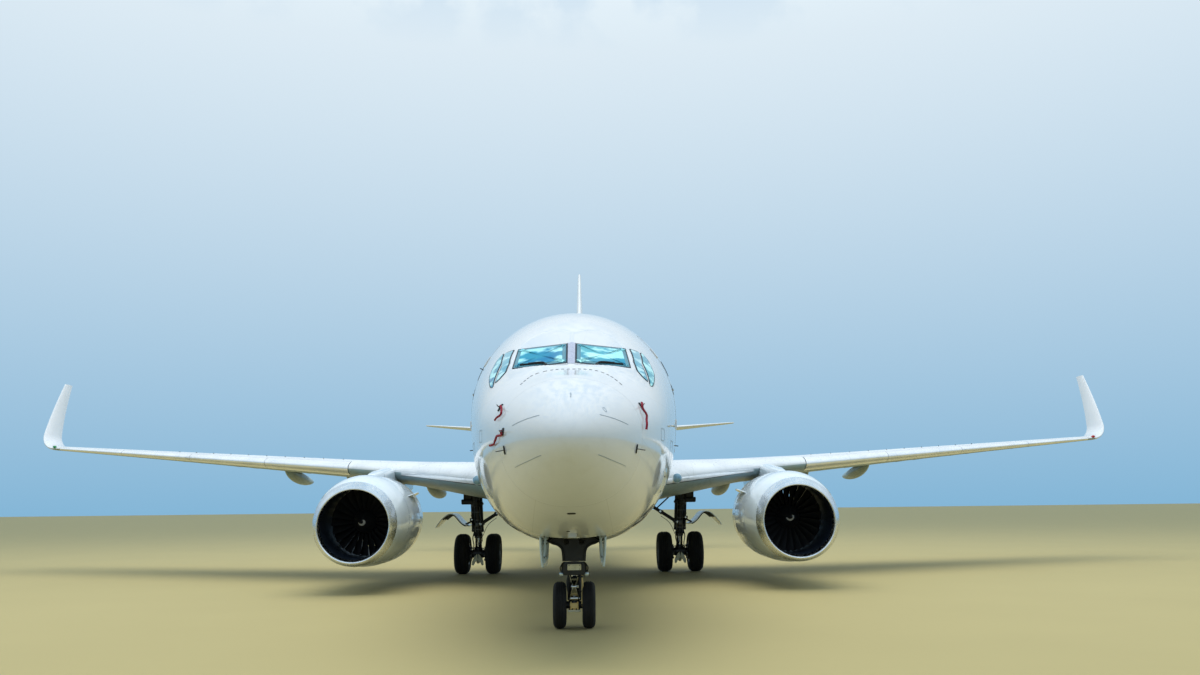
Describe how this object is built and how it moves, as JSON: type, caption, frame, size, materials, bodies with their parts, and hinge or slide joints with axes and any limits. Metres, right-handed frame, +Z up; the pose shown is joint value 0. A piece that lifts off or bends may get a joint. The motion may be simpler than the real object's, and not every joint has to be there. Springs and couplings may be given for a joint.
{
  "type": "twin-engine airliner",
  "caption": "Low-wing jet airliner with underwing engines, blended winglets and swept tail, parked on its landing gear; wheels, steering, fans and control surfaces move.",
  "frame": {"origin": "on the ground, under the middle of the aeroplane's box", "axes": "+Z up, nose towards -Y, +X towards the aeroplane's left wing"},
  "size_m": [35.7902, 33.63, 12.5],
  "materials": {
    "paint_white": "gloss",
    "paint_grey": "satin",
    "bare_metal": "polished",
    "hot_metal": "heat-stained",
    "fan_metal": "satin",
    "gear_steel": "semi-gloss",
    "wheel_metal": "painted satin",
    "tyre_rubber": "matt",
    "window_glass": "gloss"
  },
  "bodies": {
    "airframe": {"fuselage": "paint_white", "radome": "paint_white", "tail_cone": "bare_metal", "windshield": "window_glass", "door_front_left": "paint_white", "door_front_right": "paint_white", "door_rear_left": "paint_white", "door_rear_right": "paint_white", "wing_body_fairing": "paint_white", "wing_left": "paint_grey", "wing_right": "paint_grey", "winglet_left": "paint_white", "winglet_right": "paint_white", "slats_left": "bare_metal", "slats_right": "bare_metal", "inner_flap_left": "paint_grey", "inner_flap_right": "paint_grey", "outer_flap_left": "paint_grey", "outer_flap_right": "paint_grey", "fin": "paint_white", "stabilizer_left": "paint_white", "stabilizer_right": "paint_white", "inlet_cowl_left": "paint_white", "inlet_cowl_right": "paint_white", "engine_core_left": "hot_metal", "engine_core_right": "hot_metal", "pylon_left": "paint_white", "pylon_right": "paint_white", "main_leg_left": "gear_steel", "main_leg_right": "gear_steel", "main_gear_door_left": "paint_white", "main_gear_door_right": "paint_white", "nose_leg": "gear_steel", "nose_gear_door_left": "paint_white", "nose_gear_door_right": "paint_white"},
    "nose_fork": {"nose_steering": "gear_steel"},
    "nose_wheels": {"nose_left_tyre": "tyre_rubber", "nose_left_wheel": "wheel_metal", "nose_right_tyre": "tyre_rubber", "nose_right_wheel": "wheel_metal"},
    "main_wheels_left": {"main_left_outer_tyre": "tyre_rubber", "main_left_outer_wheel": "wheel_metal", "main_left_inner_tyre": "tyre_rubber", "main_left_inner_wheel": "wheel_metal"},
    "main_wheels_right": {"main_right_outer_tyre": "tyre_rubber", "main_right_outer_wheel": "wheel_metal", "main_right_inner_tyre": "tyre_rubber", "main_right_inner_wheel": "wheel_metal"},
    "left_fan": {"fan_left": "fan_metal"},
    "right_fan": {"fan_right": "fan_metal"},
    "left_sleeve": {"reverser_sleeve_left": "paint_white"},
    "right_sleeve": {"reverser_sleeve_right": "paint_white"},
    "rudder_body": {"rudder": "paint_white"},
    "left_elevator": {"elevator_left": "paint_white"},
    "right_elevator": {"elevator_right": "paint_white"},
    "left_aileron": {"aileron_left": "paint_grey"},
    "right_aileron": {"aileron_right": "paint_grey"},
    "left_spoiler": {"spoiler_left": "paint_grey"},
    "right_spoiler": {"spoiler_right": "paint_grey"}
  },
  "joints": [
    {"name": "nose_steer", "type": "hinge", "parent": "airframe", "child": "nose_fork", "pos_m": [0, -12.815, 0.6], "axis": [0, 0, 1], "range_deg": [-78, 78]},
    {"name": "nose_wheel_spin", "type": "hinge", "parent": "nose_fork", "child": "nose_wheels", "pos_m": [0, -12.815, 0.342], "axis": [1, 0, 0], "continuous": true},
    {"name": "left_main_wheel_spin", "type": "hinge", "parent": "airframe", "child": "main_wheels_left", "pos_m": [2.86, -0.215, 0.5552], "axis": [1, 0, 0], "continuous": true},
    {"name": "right_main_wheel_spin", "type": "hinge", "parent": "airframe", "child": "main_wheels_right", "pos_m": [-2.86, -0.215, 0.5552], "axis": [1, 0, 0], "continuous": true},
    {"name": "left_fan_spin", "type": "hinge", "parent": "airframe", "child": "left_fan", "pos_m": [4.83, -5.615, 1.55], "axis": [0, 1, 0], "continuous": true},
    {"name": "right_fan_spin", "type": "hinge", "parent": "airframe", "child": "right_fan", "pos_m": [-4.83, -5.615, 1.55], "axis": [0, 1, 0], "continuous": true},
    {"name": "left_reverser_slide", "type": "slide", "parent": "airframe", "child": "left_sleeve", "axis": [0, 1, 0], "range_m": [0, 0.5]},
    {"name": "right_reverser_slide", "type": "slide", "parent": "airframe", "child": "right_sleeve", "axis": [0, 1, 0], "range_m": [0, 0.5]},
    {"name": "rudder_hinge", "type": "hinge", "parent": "airframe", "child": "rudder_body", "pos_m": [0, 13.035, 5.61], "axis": [0, 0.3788, 0.9255], "range_deg": [-26, 26]},
    {"name": "left_elevator_hinge", "type": "hinge", "parent": "airframe", "child": "left_elevator", "pos_m": [0.88, 14.1456, 4.8982], "axis": [0.9266, 0.3586, 0.1137], "range_deg": [-21, 21]},
    {"name": "right_elevator_hinge", "type": "hinge", "parent": "airframe", "child": "right_elevator", "pos_m": [-0.88, 14.1456, 4.8982], "axis": [0.9266, -0.3586, -0.1137], "range_deg": [-21, 21]},
    {"name": "left_aileron_hinge", "type": "hinge", "parent": "airframe", "child": "left_aileron", "pos_m": [12.6, 2.6448, 3.5185], "axis": [0.9453, 0.3148, 0.0854], "range_deg": [-20, 20]},
    {"name": "right_aileron_hinge", "type": "hinge", "parent": "airframe", "child": "right_aileron", "pos_m": [-12.6, 2.6448, 3.5185], "axis": [0.9453, -0.3148, -0.0854], "range_deg": [-20, 20]},
    {"name": "left_spoiler_hinge", "type": "hinge", "parent": "airframe", "child": "left_spoiler", "pos_m": [6, -0.0896, 3.0998], "axis": [0.9363, 0.3431, 0.0752], "range_deg": [0, 50]},
    {"name": "right_spoiler_hinge", "type": "hinge", "parent": "airframe", "child": "right_spoiler", "pos_m": [-6, -0.0896, 3.0998], "axis": [0.9363, -0.3431, -0.0752], "range_deg": [0, 50]}
  ],
  "couplings": [
    {"joint": "right_elevator_hinge", "follows": "left_elevator_hinge", "ratio": 1},
    {"joint": "right_aileron_hinge", "follows": "left_aileron_hinge", "ratio": -1}
  ]
}
